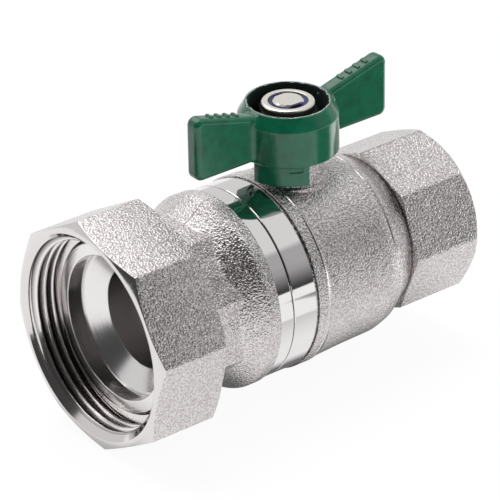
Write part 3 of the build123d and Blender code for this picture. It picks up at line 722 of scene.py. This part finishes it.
# Directions in degrees, half widths and half heights in degrees, and soft as a share of them
panels = {
    "backdrop": {"azimuth": 175, "elevation": 12, "width": 64, "height": 50, "level": 0.88, "soft": 0.12},
    "ceiling": {"azimuth": 140, "elevation": 72, "width": 40, "height": 23, "level": 0.9, "soft": 0.20},
    "softbox": {"azimuth": 62, "elevation": 52, "width": 31, "height": 15, "level": 0.92, "soft": 0.3},
    "fade": {"azimuth": 47, "elevation": 29, "width": 17, "height": 21, "level": 0.52, "soft": 0.5},
    "sideWall": {"azimuth": 98, "elevation": 18, "width": 30, "height": 32, "level": 0.78, "soft": 0.3},
    "leftWall": {"azimuth": -150, "elevation": 22, "width": 20, "height": 38, "level": 0.5, "soft": 0.35},
}
roomLevel = 0.07                 # of the dark room between the panels


def heading(azimuth, elevation):
    # In degrees: azimuth 0 is towards -Y, and 90 towards +X
    turn, rise = math.radians(azimuth), math.radians(elevation)
    return Vector((math.sin(turn) * math.cos(rise), -math.cos(turn) * math.cos(rise), math.sin(rise)))


world = bpy.data.worlds.new("studioWorld")
bpy.context.scene.world = world
world.use_nodes = True
tree = world.node_tree
tree.nodes.clear()
direction = addNode(tree, "ShaderNodeTexCoord").outputs["Generated"]
room = roomLevel
for values in panels.values():
    # Each panel is a soft-edged rectangle that faces the valve
    centre = heading(values["azimuth"], values["elevation"])
    side = centre.cross(Vector((0, 0, 1))).normalized()
    above = side.cross(centre)
    ahead = addNode(tree, "ShaderNodeVectorMath", {
        0: direction, 1: tuple(centre)}, operation="DOT_PRODUCT")
    ahead = addNode(tree, "ShaderNodeMath", {0: ahead, 1: 0.001}, operation="MAXIMUM")
    mask = within(tree, ahead, 0.02, 2.0, 0.01)     # only what lies in front, not behind
    for axis, half in ((side, values["width"]), (above, values["height"])):
        along = addNode(tree, "ShaderNodeVectorMath", {
            0: direction, 1: tuple(axis)}, operation="DOT_PRODUCT")
        ratio = addNode(tree, "ShaderNodeMath", {0: along, 1: ahead}, operation="DIVIDE")
        limit = math.tan(math.radians(half))
        spread = within(tree, ratio, -limit, limit, values["soft"] * limit)
        mask = addNode(tree, "ShaderNodeMath", {0: mask, 1: spread}, operation="MULTIPLY")
    lit = addNode(tree, "ShaderNodeMath", {0: mask, 1: values["level"]}, operation="MULTIPLY")
    room = addNode(tree, "ShaderNodeMath", {0: room, 1: lit}, operation="MAXIMUM")
back = addNode(tree, "ShaderNodeBackground", {"Strength": room})
addNode(tree, "ShaderNodeOutputWorld", {"Surface": back})

# Angles in degrees, lens and sensor in the camera's own millimetres
camera = {
    "azimuth": -38.2186,
    "elevation": 28.1187,
    "roll": -0.919,
    "distance": 794.66 * mm,
    "lens": 248.2,
    "sensor": 36,
    "clipStart": 10 * mm,
    "target": Vector((-51.465 * mm, 0, 6.36 * mm)),
}
turn, roll = math.radians(camera["azimuth"]), math.radians(camera["roll"])
backward = heading(camera["azimuth"], camera["elevation"])
right = Vector((math.cos(turn), math.sin(turn), 0))
up = backward.cross(right)
rolledRight = right * math.cos(roll) + up * math.sin(roll)
rolledUp = up * math.cos(roll) - right * math.sin(roll)
pose = Matrix((rolledRight, rolledUp, backward)).transposed().to_4x4()
pose.translation = camera["target"] + backward * camera["distance"]
cameraData = bpy.data.cameras.new("studioCamera")
cameraData.sensor_width = camera["sensor"]
cameraData.lens = camera["lens"]
cameraData.clip_start = camera["clipStart"]
cameraObject = bpy.data.objects.new("studioCamera", cameraData)
cameraObject.matrix_world = pose
bpy.context.scene.collection.objects.link(cameraObject)
bpy.context.scene.camera = cameraObject

# The fill lights the paint from the front and is flagged off, so that the metal doesn't mirror it.
# Directions in degrees, distances and sizes in metres, power in watts.
lamps = {
    "topLamp": {"azimuth": 190, "elevation": 66, "distance": 1.3, "size": 1.3, "power": 8,
                "mirrored": True},
    "fill": {"azimuth": 5, "elevation": 15, "distance": 1.4, "size": 1.0, "power": 8,
             "mirrored": False},
}
for name, values in lamps.items():
    away = heading(values["azimuth"], values["elevation"])
    lampData = bpy.data.lights.new(name, "AREA")
    lampData.shape = "SQUARE"
    lampData.size = values["size"]
    lampData.energy = values["power"]
    lamp = bpy.data.objects.new(name, lampData)
    lamp.location = camera["target"] + away * values["distance"]
    lamp.rotation_euler = away.to_track_quat("Z", "Y").to_euler()
    lamp.visible_glossy = values["mirrored"]
    bpy.context.scene.collection.objects.link(lamp)
print("stage: studio")

bpy.context.scene.view_settings.view_transform = "Standard"
